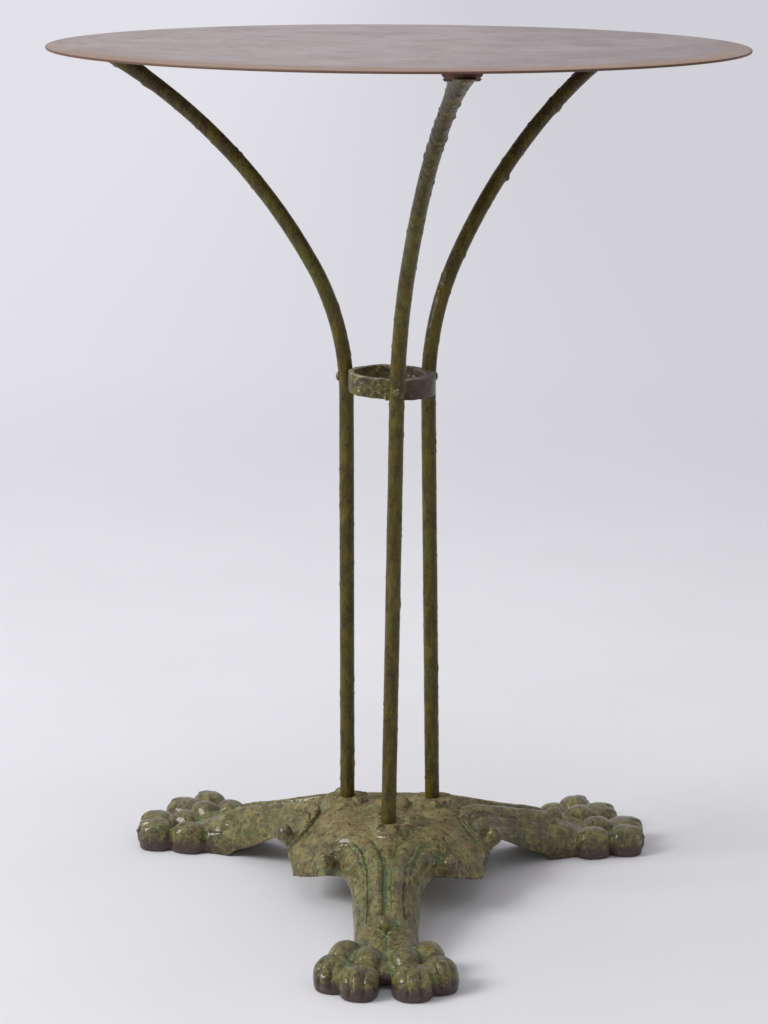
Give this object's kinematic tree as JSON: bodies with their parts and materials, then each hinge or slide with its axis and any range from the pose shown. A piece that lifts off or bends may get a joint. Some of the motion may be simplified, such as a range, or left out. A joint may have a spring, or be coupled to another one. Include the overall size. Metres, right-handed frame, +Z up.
{
  "type": "bistro table",
  "caption": "Round sheet-steel bistro table on bent iron rods tied by a collar, bolted into a cast-iron tripod base with lion's-paw feet.",
  "frame": {"origin": "on the floor, under the centre of the table top", "axes": "+Z up; -Y towards the front leg"},
  "size_m": [0.5759, 0.576, 0.734],
  "materials": {
    "bare_steel": "bare mild steel, dull grey-brown patina with orange rust near the rim",
    "rod_paint": "old glossy olive-green paint, dripped and chipped to brown",
    "rusty_iron": "unpainted wrought iron, dark brown rust",
    "rivet_steel": "bare steel, ground flush and tarnished",
    "collar_paint": "old olive-green paint, dusty and chipped",
    "casting_paint": "cast iron under worn olive paint, older light green showing in the hollows, rust on the toes"
  },
  "bodies": {
    "root": {"table_top": "bare_steel", "rod_left": "rod_paint", "rod_right": "rod_paint", "rod_front": "rod_paint", "top_pad_left": "rusty_iron", "top_pad_right": "rusty_iron", "top_pad_front": "rusty_iron", "top_rivets_left": "rivet_steel", "top_rivets_right": "rivet_steel", "top_rivets_front": "rivet_steel", "collar_ring": "collar_paint", "collar_rivet_left": "collar_paint", "collar_rivet_right": "collar_paint", "collar_rivet_front": "collar_paint", "base_casting": "casting_paint", "rod_washer_left": "rusty_iron", "rod_washer_right": "rusty_iron", "rod_washer_front": "rusty_iron", "rod_nut_left": "rusty_iron", "rod_nut_right": "rusty_iron", "rod_nut_front": "rusty_iron"}
  },
  "joints": []
}
